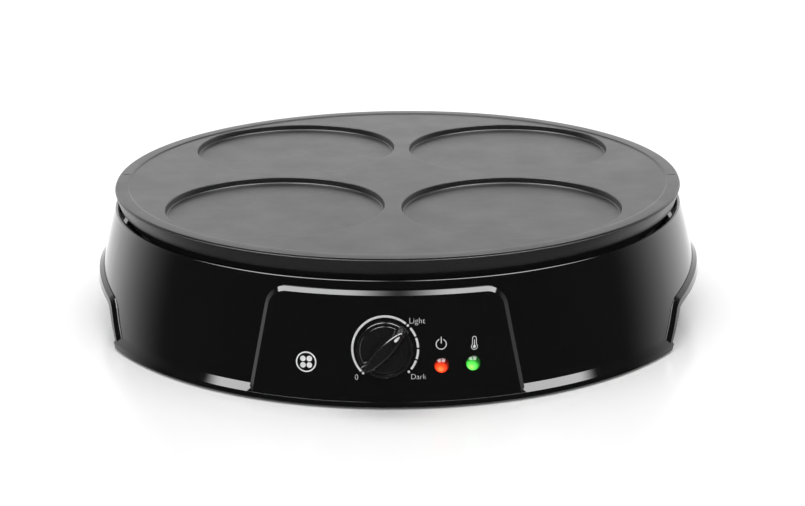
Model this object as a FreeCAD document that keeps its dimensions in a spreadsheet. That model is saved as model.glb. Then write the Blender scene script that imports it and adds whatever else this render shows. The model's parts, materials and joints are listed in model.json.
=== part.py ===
"""Electric griddle for four small pancakes: a round base with a control console, and a lift-off plate.

Millimetres, +Z up. The origin is where the plate's axis meets the table. The console faces -Y.
The base is a thin moulded housing. Its outer wall is one gently curved line turned about Z.
A raised frame stands proud of that wall: the console, the hem along the bottom and a lip over
each hand hold. Under the plate lie a tubular heater, a reflector pan and the wiring.
"""
import FreeCAD, Part
import math
import os
from types import SimpleNamespace

import Sketcher
from FreeCAD import Placement, Rotation, Vector

SIZES = {
    # housing wall, its raised frame and rim
    "hem_height": 1.5, "rim_height": 72.0, "rim_radius": 185.6, "hem_radius": 200.4,
    "wall_curve": 408.0, "wall": 2.8, "frame_raise": 3.2, "rim_round": 1.2,
    "hem_lip": 3.0, "hem_bevel": 4.0, "hem_lean": 0.3,
    # console outline on the front of the wall
    "console_low_half": 81.0, "console_high_half": 68.0, "console_drop": 5.2,
    "console_corner": 13.0, "console_bevel": 2.2,
    # hand holds under the left and right sides, and the lip round each
    "grip_low_half": 107.5, "grip_high_half": 87.0, "grip_shoulder": 24.0, "grip_top": 29.5,
    "grip_corner": 12.0, "grip_depth": 168.0,
    "lip_low_half": 112.0, "lip_high_half": 91.0, "lip_shoulder": 28.5, "lip_top": 36.5,
    "lip_corner": 16.0, "lip_raise": 2.4, "lip_bevel": 2.2,
    # shelf inside the rim, and screw bosses
    "shelf_radius": 166.0, "shelf_drop": 9.0, "shelf_thick": 2.5,
    "boss_radius": 5.5, "boss_inset": 8.4, "boss_height": 17.0, "pilot_radius": 1.3,
    # plate, measured up from the shelf and in from its edge
    "plate_radius": 185.0, "ring_height": 16.0, "plate_rim_width": 9.0, "plate_rim_step": 0.6,
    "plate_edge": 10.2, "plate_edge_draft": 2.4, "plate_web": 4.8, "plate_round": 1.0,
    "ring_outer": 179.0, "ring_inner": 175.6, "rest_height": 6.0,
    "well_radius": 68.5, "well_depth": 3.8, "well_pitch": 147.6, "well_round": 1.2,
    "well_pad": 2.5, "notch_inset": 1.5, "notch_length": 5.0, "notch_width": 0.9,
    "notch_depth": 0.5,
    # reflector, heater and their fixings
    "pan_radius": 173.0, "pan_dish": 160.0, "pan_slope": 5.0, "pan_depth": 5.0, "sheet": 0.8,
    "heater_radius": 3.25, "heater_outer": 135.0, "heater_inner": 75.0, "heater_gap": 0.4,
    "heater_leg": 16.0, "saddle_clearance": 0.15, "clip_width": 8.0, "clip_foot": 14.0,
    "rest_radius": 4.0, "bush_wall": 2.6, "bush_flange": 4.6, "bush_clearance": 0.05,
    "tab_width": 6.3, "tab_thick": 0.8, "tab_length": 10.0, "tab_pin": 1.4,
    # dial, knob and lamps
    "dial_height": 35.1, "knob_radius": 16.0, "knob_gap": 1.2,
    "knob_skirt": 3.6, "knob_bevel": 2.0, "knob_top": 14.0, "bar_length": 33.4,
    "bar_width": 10.8, "bar_end": 6.0, "bar_draft": 12.0, "shaft_radius": 3.0, "shaft_flat": 2.2,
    "run_clearance": 0.06, "pointer_length": 6.0, "pointer_width": 2.2, "pointer_inset": 1.6,
    "pointer_proud": 0.25, "pointer_sink": 0.9, "leaf_thick": 0.5, "leaf_width": 2.5,
    "pointer_turn": 44.0,
    "lamp_height": 25.2, "lamp_radius": 4.25, "lamp_dome": 2.6, "lamp_clearance": 0.1,
    "lamp_depth": 9.0, "lamp_shell": 1.1, "bulb_radius": 2.1, "bulb_end": 14.0,
    "clip_flange": 2.6, "clip_thick": 0.8,
    # thermostat behind the dial
    "thermostat_gap": 5.4, "thermostat_long": 36.0, "thermostat_wide": 20.0,
    "thermostat_sheet": 1.2, "thermostat_screw": 13.5, "stack_radius": 8.0, "stack_height": 13.0,
    # underside
    "cover_bottom": 2.5, "cover_thick": 2.5, "cover_clearance": 1.0, "hole_clearance": 0.3,
    "foot_size": 9.0, "foot_plug": 3.0, "foot_ring": 158.0,
    "vent_length": 34.0, "vent_width": 3.6, "vent_ring": 112.0,
    # cord entry and terminal block
    "cord_bore": 3.7, "gland_radius": 6.5, "gland_height": 18.0, "gland_flange": 9.0,
    "gland_seat_depth": 9.0, "gland_rim": 2.0,
    "block_long": 36.0, "block_wide": 20.0, "block_high": 15.0, "block_pitch": 10.0,
    "block_edge": 8.0, "block_way": 2.2, "block_front": 132.0,
    # screws
    "screw_radius": 1.25, "screw_head": 2.8, "screw_head_thick": 1.8, "screw_length": 8.0,
}
LAMPS = {"power_lamp": 9.3, "ready_lamp": 14.6}      # degrees round from the dial
COVER_SCREWS = (38.0, 142.0, 218.0, 322.0)           # degrees round from the front
REST_ANGLES = (45.0, 135.0, 225.0, 315.0)
HEATER_END = -108.0                                  # degrees, where both loops begin
HEATER_SWEEP = 306.0
EARTH_PLACE = (60.0, 96.0)
CLIP_PLACES = (("heater_outer", (-150.0, 150.0, 75.0, 5.0)), ("heater_inner", (180.0, 20.0)))

doc = FreeCAD.newDocument("griddle")
sheet = doc.addObject("Spreadsheet::Sheet", "Sizes")


class Dim:
    """A size as both a number and the sheet expression that gives it."""

    def __init__(self, value, text=None):
        self.value = float(value)
        self.text = text or repr(float(value))

    def _with(self, other, sign, flip=False):
        other = other if isinstance(other, Dim) else Dim(other)
        a, b = (other, self) if flip else (self, other)
        work = {"+": a.value + b.value, "-": a.value - b.value, "*": a.value * b.value}
        value = a.value / b.value if sign == "/" else work[sign]
        return Dim(value, f"({a.text} {sign} {b.text})")

    def __add__(self, other):
        return self._with(other, "+")

    def __radd__(self, other):
        return self._with(other, "+", True)

    def __sub__(self, other):
        return self._with(other, "-")

    def __rsub__(self, other):
        return self._with(other, "-", True)

    def __mul__(self, other):
        return self._with(other, "*")

    def __rmul__(self, other):
        return self._with(other, "*", True)

    def __truediv__(self, other):
        return self._with(other, "/")

    def __neg__(self):
        return self * -1.0

    def root(self):
        return Dim(math.sqrt(self.value), f"sqrt({self.text})")

    def __float__(self):
        return self.value


def fill_sheet():
    """Writes every driving size into the sheet and returns them as Dims."""
    named = {}
    for row, (name, value) in enumerate(SIZES.items(), start=1):
        sheet.set(f"A{row}", name)
        sheet.set(f"B{row}", str(value))
        sheet.setAlias(f"B{row}", name)
        named[name] = Dim(value, f"Sizes.{name}")
    doc.recompute()
    return SimpleNamespace(**named)


s = fill_sheet()
s.console_top = s.rim_height - s.console_drop
s.shelf_top = s.rim_height - s.shelf_drop
s.pan_floor = s.shelf_top - s.pan_depth
s.ring_bottom = s.shelf_top + s.rest_height
s.plate_top = s.ring_bottom + s.ring_height
s.rest_ring = (s.ring_outer + s.ring_inner) / 2.0
s.pan_screw_ring = s.pan_radius - 3.5
s.heater_leg_end = s.pan_floor - s.heater_leg
s.boss_ring = s.hem_radius - s.boss_inset
s.cover_radius = s.hem_radius - s.wall - s.cover_clearance
s.cover_top = s.cover_bottom + s.cover_thick


# ---------------------------------------------------------------- building helpers
def bind(obj, **props):
    """Binds properties to the sheet."""
    for prop, dim in props.items():
        dim = dim if isinstance(dim, Dim) else Dim(dim)
        obj.setExpression(prop, dim.text)
    return obj


def arc_through(p, q, radius):
    """An arc from p to q. A positive radius bulges to the right of the way from p to q."""
    half = (q - p) * 0.5
    side = Vector(half.y, -half.x, 0).normalize()
    rise = abs(radius) - math.sqrt(max(radius * radius - half.Length ** 2, 0.0))
    return Part.Arc(p, p + half + side * math.copysign(rise, radius), q)


def outline(sketch, corners):
    """A closed outline. Each corner is (x, y), or (x, y, radius) where an arc leaves it."""
    count = len(corners)
    points = [Vector(float(c[0]), float(c[1]), 0) for c in corners]
    first = sketch.GeometryCount
    for k, corner in enumerate(corners):
        p, q = points[k], points[(k + 1) % count]
        edge = arc_through(p, q, float(corner[2])) if len(corner) > 2 else Part.LineSegment(p, q)
        sketch.addGeometry(edge, False)
    ends = []
    for k, corner in enumerate(corners):
        turned = len(corner) > 2 and float(corner[2]) < 0
        ends.append((2, 1) if turned else (1, 2))
    for k, corner in enumerate(corners):
        geo = first + k
        after = first + (k + 1) % count
        joint = Sketcher.Constraint("Coincident", geo, ends[k][1], after, ends[(k + 1) % count][0])
        sketch.addConstraint(joint)
        for kind, dim in (("DistanceX", corner[0]), ("DistanceY", corner[1])):
            fixed = Sketcher.Constraint(kind, -1, 1, geo, ends[k][0], float(dim))
            pin_down(sketch, fixed, dim)
        if len(corner) > 2:
            size = abs(float(corner[2]))
            bend = corner[2] if float(corner[2]) > 0 else -corner[2]
            pin_down(sketch, Sketcher.Constraint("Radius", geo, size), bend)
    return sketch


def circle(sketch, x, y, radius):
    """A circle whose centre and radius are bound to the sheet."""
    centre = Vector(float(x), float(y), 0)
    geo = sketch.addGeometry(Part.Circle(centre, Vector(0, 0, 1), float(radius)), False)
    for kind, dim in (("DistanceX", x), ("DistanceY", y)):
        pin_down(sketch, Sketcher.Constraint(kind, -1, 1, geo, 3, float(dim)), dim)
    pin_down(sketch, Sketcher.Constraint("Radius", geo, float(radius)), radius)


def pin_down(sketch, constraint, dim):
    """Adds a dimension and binds it if it comes from the sheet."""
    index = sketch.addConstraint(constraint)
    if isinstance(dim, Dim) and "Sizes" in dim.text:
        sketch.setExpression(f"Constraints[{index}]", dim.text)


def body(name):
    return doc.addObject("PartDesign::Body", name)


def sketch_in(owner, name, plane, height=0.0):
    """A sketch on one of a body's origin planes, moved along its normal."""
    sketch = owner.newObject("Sketcher::SketchObject", name)
    support = [f for f in owner.Origin.OriginFeatures if f.Role == plane][0]
    sketch.AttachmentSupport = [(support, "")]
    sketch.MapMode = "FlatFace"
    height = height if isinstance(height, Dim) else Dim(height)
    sketch.AttachmentOffset = Placement(Vector(0, 0, height.value), Rotation())
    sketch.setExpression("AttachmentOffset.Base.z", height.text)
    return sketch


def turned(owner, name, corners):
    """A full turn of an outline, drawn as (radius, height), about the body's Z axis."""
    sketch = outline(sketch_in(owner, name + "_profile", "XZ_Plane"), corners)
    feature = owner.newObject("PartDesign::Revolution", name)
    feature.Profile = sketch
    feature.ReferenceAxis = (sketch, ["V_Axis"])
    feature.Angle = 360.0
    return feature


def raised(owner, name, sketch, length, draft=None):
    """A pad along the sketch's normal."""
    feature = owner.newObject("PartDesign::Pad", name)
    feature.Profile = sketch
    bind(feature, Length=length)
    if draft is not None:
        bind(feature, TaperAngle=-draft)
    return feature


def pocket(owner, name, sketch, depth, upward=False):
    """A pocket against the sketch's normal, or along it when it is cut upward."""
    feature = owner.newObject("PartDesign::Pocket", name)
    feature.Profile = sketch
    feature.Reversed = upward
    bind(feature, Length=depth)
    return feature


def rounded(owner, name, edges, radius):
    """Rounds named edges of a body's last feature."""
    last = owner.Tip
    feature = owner.newObject("PartDesign::Fillet", name)
    feature.Base = (last, edges)
    bind(feature, Radius=radius)
    owner.Tip = feature
    return feature


def combine(kind, name, shapes):
    """A Part boolean of several objects: MultiFuse, MultiCommon or Compound."""
    feature = doc.addObject("Part::" + kind, name)
    if kind == "Compound":
        feature.Links = shapes
    else:
        feature.Shapes = shapes
    return feature


def cut(name, base, tool):
    feature = doc.addObject("Part::Cut", name)
    feature.Base = base
    feature.Tool = tool
    return feature


def cylinder(name, radius, height, place):
    """A Part cylinder along the local Z of a placement."""
    feature = doc.addObject("Part::Cylinder", name)
    bind(feature, Radius=radius, Height=height)
    feature.Placement = place
    return feature


def block(name, length, width, height, place):
    """A Part box from the corner of a placement."""
    feature = doc.addObject("Part::Box", name)
    bind(feature, Length=length, Width=width, Height=height)
    feature.Placement = place
    return feature


def shape_node(name, shape):
    """A piece that no parametric feature fits: its shape comes from Part's own functions."""
    feature = doc.addObject("Part::Feature", name)
    feature.Shape = shape
    return feature


NODES = {}


def node(name, feature):
    """Names a finished sub-part."""
    feature.Label = name
    NODES[name] = feature
    return feature


def at(x=0.0, y=0.0, z=0.0, turn=None):
    return Placement(Vector(float(x), float(y), float(z)), turn or Rotation())


def screw(name, place):
    """A pan-head screw: its head stands on the placement's plane and its shank points to -Z."""
    head = cylinder(name + "_head", s.screw_head, s.screw_head_thick, place)
    shank_place = place.multiply(at(z=-s.screw_length))
    shank_length = s.screw_length + s.screw_head_thick / 2.0
    shank = cylinder(name + "_shank", s.screw_radius, shank_length, shank_place)
    return combine("MultiFuse", name, [head, shank])


# ---------------------------------------------------------------- shared places
CHORD_IN = float(s.hem_radius - s.rim_radius)
CHORD_UP = float(s.rim_height - s.hem_height)
OVER = 20.0                          # how far cutting tools reach past what they cut


def wall_centre():
    """The centre of the wall's curved line, as radius and height."""
    half = math.hypot(CHORD_IN, CHORD_UP) / 2
    reach = math.sqrt(float(s.wall_curve) ** 2 - half ** 2)
    centre_r = float(s.hem_radius + s.rim_radius) / 2 - CHORD_UP / (2 * half) * reach
    centre_z = float(s.hem_height + s.rim_height) / 2 - CHORD_IN / (2 * half) * reach
    return centre_r, centre_z


def wall_radius(height, offset=0.0):
    """Outer radius of the plain wall at a height, moved out by an offset."""
    centre_r, centre_z = wall_centre()
    return centre_r + math.sqrt(float(s.wall_curve) ** 2 - (height - centre_z) ** 2) + offset


def wall_lean(height):
    """How far the wall's outward normal tips up at a height, in degrees."""
    return math.degrees(math.asin((height - wall_centre()[1]) / float(s.wall_curve)))


def on_console(angle, height):
    """A frame on the console's face: +Z points out of it and +Y up along it."""
    radius = wall_radius(float(height), float(s.frame_raise))
    lean = Rotation(Vector(1, 0, 0), 90.0 - wall_lean(float(height)))
    turn = Rotation(Vector(0, 0, 1), angle)
    out = turn.multVec(Vector(0, -radius, float(height)))
    return Placement(out, turn.multiply(lean))


DIAL = on_console(0.0, s.dial_height)


def dial_place(x=0.0, y=0.0, z=0.0, turn=0.0):
    """A place given in the dial's frame, turned about the dial's axis."""
    return DIAL.multiply(at(x, y, z, Rotation(Vector(0, 0, 1), turn)))


def around(angle, radius, height):
    """A place on a circle about Z, the angle counted round from the front towards +X."""
    a = math.radians(angle)
    return at(float(radius) * math.sin(a), -float(radius) * math.cos(a), height)


# ---------------------------------------------------------------- housing
def wall_band(name, inner, outer, low, high):
    """A turned band between two copies of the wall's curved line, from one height to another."""
    ring = body(name)
    corners = [
        (Dim(wall_radius(float(low))) + outer, low, s.wall_curve),
        (Dim(wall_radius(float(high))) + outer, high),
        (Dim(wall_radius(float(high))) + inner, high, -s.wall_curve),
        (Dim(wall_radius(float(low))) + inner, low),
    ]
    turned(ring, name + "_turn", corners)
    ring.Placement = Placement(Vector(), Rotation(Vector(0, 0, 1), 90.0))
    return ring


def plain_wall():
    """The housing's wall with its rounded rim."""
    shell = body("plain_wall")
    r = s.rim_round
    corners = [
        (s.hem_radius, s.hem_height, s.wall_curve),
        (s.rim_radius, s.rim_height - r, r),
        (s.rim_radius - r, s.rim_height),
        (s.rim_radius - s.wall + r, s.rim_height, r),
        (s.rim_radius - s.wall, s.rim_height - r, -s.wall_curve),
        (s.hem_radius - s.wall, s.hem_height),
    ]
    turned(shell, "plain_wall_turn", corners)
    return shell


def hem():
    """The flared hem: a bevel above a short upright lip."""
    ring = body("hem")
    lip_top = s.hem_height + s.hem_lip
    bevel_top = lip_top + s.hem_bevel
    out = s.hem_radius + s.frame_raise
    corners = [
        (out, s.hem_height),
        (out - s.hem_lean, lip_top),
        (Dim(wall_radius(float(bevel_top))), bevel_top),
        (s.hem_radius - s.wall, bevel_top),
        (s.hem_radius - s.wall, s.hem_height),
    ]
    turned(ring, "hem_turn", corners)
    return ring


def console_prism(name, inset, start, depth):
    """A prism along Y with the console's front outline, taken in all round by an inset."""
    prism = body(name)
    slope = (s.console_low_half - s.console_high_half) / (s.console_top - s.hem_height)
    low = s.hem_height - OVER
    high = s.console_top - inset
    low_half = s.console_low_half + slope * OVER - inset
    high_half = s.console_high_half + slope * inset - inset
    corners = [(-low_half, low), (low_half, low), (high_half, high), (-high_half, high)]
    sketch = outline(sketch_in(prism, name + "_front", "XZ_Plane", start), corners)
    raised(prism, name + "_pad", sketch, depth)
    doc.recompute()
    ends = [
        f"Edge{i + 1}" for i, e in enumerate(prism.Shape.Edges)
        if abs(e.tangentAt(e.FirstParameter).y) > 0.99 and e.CenterOfMass.z > float(s.hem_height)
    ]
    rounded(prism, name + "_corners", ends, s.console_corner - inset)
    return prism


def grip_prism(name, low_half, high_half, shoulder, top, corner):
    """A prism along X with a hand hold's outline: sloping legs, round corners, an arched top."""
    prism = body(name)
    low = s.hem_height - OVER
    slope = (low_half - high_half) / (shoulder - s.hem_height)
    foot = low_half + slope * OVER
    rise = top - shoulder
    crown = (high_half * high_half + rise * rise) / (2.0 * rise)
    side = s.hem_radius + OVER
    sketch = outline(sketch_in(prism, name + "_side", "YZ_Plane", -side), [
        (-foot, low), (foot, low), (high_half, shoulder, crown), (-high_half, shoulder),
    ])
    raised(prism, name + "_pad", sketch, side * 2.0)
    doc.recompute()
    corners = [
        f"Edge{i + 1}" for i, e in enumerate(prism.Shape.Edges)
        if abs(e.tangentAt(e.FirstParameter).x) > 0.99 and e.CenterOfMass.z > float(s.hem_height)
    ]
    rounded(prism, name + "_corners", corners, corner)
    return prism


def grip_outline(name, grow):
    """The hand holds' own outline, or one grown all round by a thickness."""
    return grip_prism(name, s.grip_low_half + grow, s.grip_high_half + grow,
                      s.grip_shoulder + grow, s.grip_top + grow, s.grip_corner + grow)


def bevelled(name, base, proud, bevel):
    """Bevels the edges above the hem that bound the face of a raised block."""
    doc.recompute()
    picked = []
    for index, edge in enumerate(base.Shape.Edges, start=1):
        middle = edge.valueAt((edge.FirstParameter + edge.LastParameter) / 2)
        off_face = math.hypot(middle.x, middle.y) - wall_radius(middle.z, float(proud))
        if abs(off_face) < 0.4 and middle.z > float(s.hem_height) + 1.0:
            picked.append((index, float(bevel), float(bevel)))
    feature = doc.addObject("Part::Chamfer", name)
    feature.Base = base
    feature.Edges = picked
    return feature


def beside_grips(name, depth):
    """Two boxes that hold everything further out than a depth on the left and the right."""
    reach = s.hem_radius + OVER
    half = s.grip_low_half + OVER
    high = s.grip_top + OVER
    boxes = []
    for side in (-1, 1):
        x = float(depth) if side > 0 else -float(reach)
        place = at(x, -half, s.hem_height)
        word = "right" if side > 0 else "left"
        boxes.append(block(f"{name}_{word}", reach - depth, half * 2.0, high, place))
    return combine("Compound", name, boxes)


def housing():
    """The moulded base: wall, rim, hem, console, hand-hold lips, shelf and bosses."""
    top = s.console_top + s.console_drop
    low = s.hem_height
    skin = s.wall / -2.0
    full = wall_band("raised_band", skin, s.frame_raise, low, top)
    front = console_prism("console_outline", Dim(0.0), s.hem_radius / 2.0, s.hem_radius)
    console = combine("MultiCommon", "console_block", [full, front])
    console = bevelled("console_raised", console, s.frame_raise, s.console_bevel)
    lip = combine("MultiCommon", "lip_block", [
        wall_band("lip_band", skin, s.lip_raise, low, top),
        grip_prism("lip_outline", s.lip_low_half, s.lip_high_half, s.lip_shoulder, s.lip_top,
                   s.lip_corner),
    ])
    lip = bevelled("lip_raised", lip, s.lip_raise, s.lip_bevel)
    pocket_walls = combine("MultiCommon", "pocket_walls", [
        grip_outline("pocket_outline", s.wall),
        beside_grips("pocket_boxes", s.grip_depth - s.wall), solid_inside("inside_volume"),
    ])
    shelf = body("shelf")
    shelf_low = s.shelf_top - s.shelf_thick
    shelf_reach = Dim(wall_radius(float(shelf_low))) - s.wall / 2.0
    turned(shelf, "shelf_turn", [
        (s.shelf_radius, shelf_low), (shelf_reach, shelf_low), (shelf_reach - 0.6, s.shelf_top),
        (s.shelf_radius, s.shelf_top),
    ])
    bosses = [
        cylinder(f"cover_boss_{index}", s.boss_radius, s.boss_height, place)
        for index, place in enumerate(cover_screw_places(), start=1)
    ]
    to_rear = Rotation(Vector(1, 0, 0), -90.0)
    seat = cylinder("gland_seat", s.gland_flange + s.gland_rim, s.gland_seat_depth,
                    at(0, s.hem_radius - s.gland_seat_depth, s.gland_height, to_rear))
    back = s.wall + s.thermostat_gap
    stand_offs = []
    for index, side in enumerate((-1, 1), start=1):
        place = dial_place(side * float(s.thermostat_screw), 0.0, -float(back))
        post = s.screw_head + 0.6
        stand_offs.append(cylinder(f"thermostat_boss_{index}", post, back - 1.0, place))
    whole = combine("MultiFuse", "housing_solid", [
        plain_wall(), hem(), console, lip, pocket_walls, shelf, seat, *bosses,
    ])
    hollow = combine("MultiCommon", "console_hollow", [
        wall_band("console_inner", s.wall * -1.5, s.frame_raise - s.wall, low + 4.0, top),
        console_prism("console_inner_outline", s.wall, s.hem_radius / 2.0, s.hem_radius),
    ])
    grips = combine("MultiCommon", "grip_openings", [
        grip_outline("grip_hole", Dim(0.0)), beside_grips("grip_boxes", s.grip_depth),
    ])
    opened = cut("housing_opened", whole, combine("MultiFuse", "housing_hollows", [hollow, grips]))
    with_bosses = combine("MultiFuse", "housing_bossed", [opened, *stand_offs])
    holes = combine("Compound", "housing_holes", housing_holes())
    return node("housing", cut("housing", with_bosses, holes))


def solid_inside(name):
    """Everything inside the middle of the wall below the shelf, as a solid of revolution."""
    inside = body(name)
    top = s.shelf_top - s.shelf_thick
    turned(inside, name + "_turn", [
        (0.0, s.hem_height), (s.hem_radius - s.wall / 2.0, s.hem_height, s.wall_curve),
        (Dim(wall_radius(float(top))) - s.wall / 2.0, top), (0.0, top),
    ])
    return inside


def housing_holes():
    """Holes for the shaft, the lamps, the gland and every screw that enters the housing."""
    holes = [cylinder("shaft_hole", s.shaft_radius + 1.0, 12.0, dial_place(z=-8.0))]
    for name, angle in LAMPS.items():
        place = on_console(angle, s.lamp_height).multiply(at(z=-8.0))
        holes.append(cylinder(name + "_hole", s.lamp_radius + s.lamp_clearance, 12.0, place))
    to_rear = Rotation(Vector(1, 0, 0), -90.0)
    holes.append(cylinder("gland_hole", s.gland_radius + 0.1, s.gland_seat_depth + 4.0,
                          at(0, s.hem_radius - s.gland_seat_depth - 2.0, s.gland_height, to_rear)))
    for index, place in enumerate(cover_screw_places(), start=1):
        holes.append(cylinder(f"cover_pilot_{index}", s.pilot_radius, 12.0, place))
    for index, angle in enumerate(REST_ANGLES, start=1):
        pan = around(angle, s.pan_screw_ring, s.shelf_top - 6.0)
        holes.append(cylinder(f"pan_pilot_{index}", s.pilot_radius, 12.0, pan))
    for index, side in enumerate((-1, 1), start=1):
        place = dial_place(side * float(s.thermostat_screw), 0.0, -10.0)
        holes.append(cylinder(f"thermostat_pilot_{index}", s.pilot_radius, 7.0, place))
    return holes


def cover_screw_places():
    """Where the cover's screws enter the bosses, at the cover's top face."""
    places = [around(angle, s.boss_ring, s.cover_top) for angle in COVER_SCREWS]
    reach = float(s.grip_depth - s.wall - s.boss_radius) + 1.0
    return places + [at(side * reach, 0, s.cover_top) for side in (-1, 1)]


# ---------------------------------------------------------------- plate
def griddle_plate():
    """The cast plate: raised rim, four wells, a drafted edge and a locating ring below."""
    plate = body("griddle_plate")
    face = s.plate_top - s.plate_rim_step
    under = face - s.plate_web
    edge_low = s.plate_top - s.plate_edge
    r = s.plate_round
    rim_inner = s.plate_radius - s.plate_rim_width
    turned(plate, "plate_turn", [
        (0.0, face), (0.0, under), (s.ring_inner, under), (s.ring_inner, s.ring_bottom),
        (s.ring_outer, s.ring_bottom), (s.ring_outer, edge_low),
        (s.plate_radius - s.plate_edge_draft, edge_low),
        (s.plate_radius, s.plate_top - r, r), (s.plate_radius - r, s.plate_top),
        (rim_inner + s.plate_rim_step, s.plate_top), (rim_inner, face),
    ])
    offsets = [(x, y) for x in (-1, 1) for y in (-1, 1)]
    half = s.well_pitch / 2.0
    floor = face - s.well_depth
    pads = sketch_in(plate, "well_pads", "XY_Plane", floor - s.plate_web)
    for x, y in offsets:
        circle(pads, half * x, half * y, s.well_radius + s.well_pad)
    raised(plate, "well_pad", pads, s.well_depth + 1.0)
    wells = sketch_in(plate, "wells", "XY_Plane", face)
    for x, y in offsets:
        circle(wells, half * x, half * y, s.well_radius)
    pocket(plate, "well_pockets", wells, s.well_depth)
    notches = sketch_in(plate, "notches", "XY_Plane", s.plate_top)
    inner = rim_inner + s.notch_inset
    for side in (-1, 1):
        near, far = inner * side, (inner + s.notch_length) * side
        low, high = (near, far) if side > 0 else (far, near)
        outline(notches, [
            (low, -s.notch_width / 2.0), (high, -s.notch_width / 2.0),
            (high, s.notch_width / 2.0), (low, s.notch_width / 2.0),
        ])
    pocket(plate, "notch_pockets", notches, s.notch_depth)
    doc.recompute()
    rings = [
        f"Edge{i + 1}" for i, e in enumerate(plate.Shape.Edges)
        if e.Curve.TypeId == "Part::GeomCircle" and abs(e.Curve.Radius - float(s.well_radius)) < 0.01
        and abs(e.CenterOfMass.z - float(floor)) < 0.01
    ]
    rounded(plate, "well_rounds", rings, s.well_round)
    return node("griddle_plate", plate)


# ---------------------------------------------------------------- reflector and heater
def reflector_pan():
    """A shallow pressed dish whose flange lies on the shelf."""
    pan = body("reflector_pan")
    t = s.sheet
    top = s.shelf_top + t
    turned(pan, "pan_turn", [
        (0.0, s.pan_floor - t), (s.pan_dish, s.pan_floor - t),
        (s.pan_dish + s.pan_slope, s.shelf_top), (s.pan_radius, s.shelf_top), (s.pan_radius, top),
        (s.pan_dish + s.pan_slope - t / 2.0, top), (s.pan_dish - t / 2.0, s.pan_floor),
        (0.0, s.pan_floor),
    ])
    holes = sketch_in(pan, "pan_holes", "XY_Plane", s.pan_floor - 6.0)
    for radius in (s.heater_outer, s.heater_inner):
        x, y = heater_foot(radius)
        circle(holes, x, y, s.heater_radius + s.bush_wall + 0.15)
    for angle in REST_ANGLES:
        a = math.radians(angle)
        reach = s.pan_screw_ring
        hole = s.screw_radius + s.hole_clearance
        circle(holes, reach * math.sin(a), reach * -math.cos(a), hole)
    circle(holes, *EARTH_PLACE, s.screw_radius + 0.05)
    pocket(pan, "pan_hole_pocket", holes, 14.0, upward=True)
    node("reflector_pan", pan)
    screws = []
    for index, angle in enumerate(REST_ANGLES, start=1):
        place = around(angle, s.pan_screw_ring, s.shelf_top + s.sheet)
        screws.append(screw(f"pan_screw_{index}", place))
    node("reflector_screws", combine("Compound", "reflector_screws", screws))


def heater_bend():
    """Radius of the quarter bend that turns a heater end down."""
    return s.heater_radius * 3.0


def heater_foot(radius):
    """Where a heater end comes down, as sheet-bound x and y."""
    a = math.radians(HEATER_END)
    bend = heater_bend()
    return radius * math.cos(a) - bend * math.sin(a), radius * math.sin(a) + bend * math.cos(a)


def heater_height():
    """The heater tube's centre lies just under the wells' undersides."""
    under = s.plate_top - s.plate_rim_step - s.well_depth - s.plate_web
    return float(under - s.heater_gap - s.heater_radius)


def heating_element():
    """A sheathed tube: outer loop, U-bend, inner loop, both ends turned down."""
    z = heater_height()
    bend = float(heater_bend())
    down = Vector(0, 0, -1)
    last = HEATER_END - HEATER_SWEEP

    def spot(radius, angle):
        a = math.radians(angle)
        return Vector(radius * math.cos(a), radius * math.sin(a), z)

    def run(radius):
        """One end's leg, its quarter bend and its loop, with the loop's end and the leg's foot."""
        x, y = heater_foot(Dim(radius))
        foot = Vector(float(x), float(y), float(s.heater_leg_end))
        knee = Vector(foot.x, foot.y, z - bend)
        start = spot(radius, HEATER_END)
        away = (Vector(foot.x, foot.y, z) - start).normalize()
        middle = start + away * (bend * math.sqrt(0.5)) + down * (bend * (1.0 - math.sqrt(0.5)))
        edges = [
            Part.LineSegment(foot, knee).toShape(),
            Part.Arc(knee, middle, start).toShape(),
            Part.Arc(start, spot(radius, (HEATER_END + last) / 2.0), spot(radius, last)).toShape(),
        ]
        return edges, spot(radius, last), foot

    outer, outer_end, outer_foot = run(float(s.heater_outer))
    inner, inner_end, inner_foot = run(float(s.heater_inner))
    ahead = Vector(math.sin(math.radians(last)), -math.cos(math.radians(last)), 0)
    crown = (outer_end + inner_end) * 0.5 + ahead * ((outer_end - inner_end).Length / 2.0)
    turn = Part.Arc(outer_end, crown, inner_end).toShape()
    path = Part.Wire(Part.__sortEdges__(outer + [turn] + inner))
    node("heating_element", shape_node("heating_element", tube_along(path, s.heater_radius)))
    return outer_foot, inner_foot


def tube_along(path, radius):
    """A round solid along a smooth path."""
    first = path.OrderedEdges[0]
    head = path.OrderedVertexes[0].Point
    near_start = (first.valueAt(first.FirstParameter) - head).Length < 1e-6
    tangent = first.tangentAt(first.FirstParameter if near_start else first.LastParameter)
    ring = Part.Wire(Part.Circle(head, tangent, float(radius)).toShape())
    shell = Part.BRepOffsetAPI.MakePipeShell(path)
    shell.setFrenetMode(False)
    shell.add(ring)
    shell.build()
    shell.makeSolid()
    return shell.shape()


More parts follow.
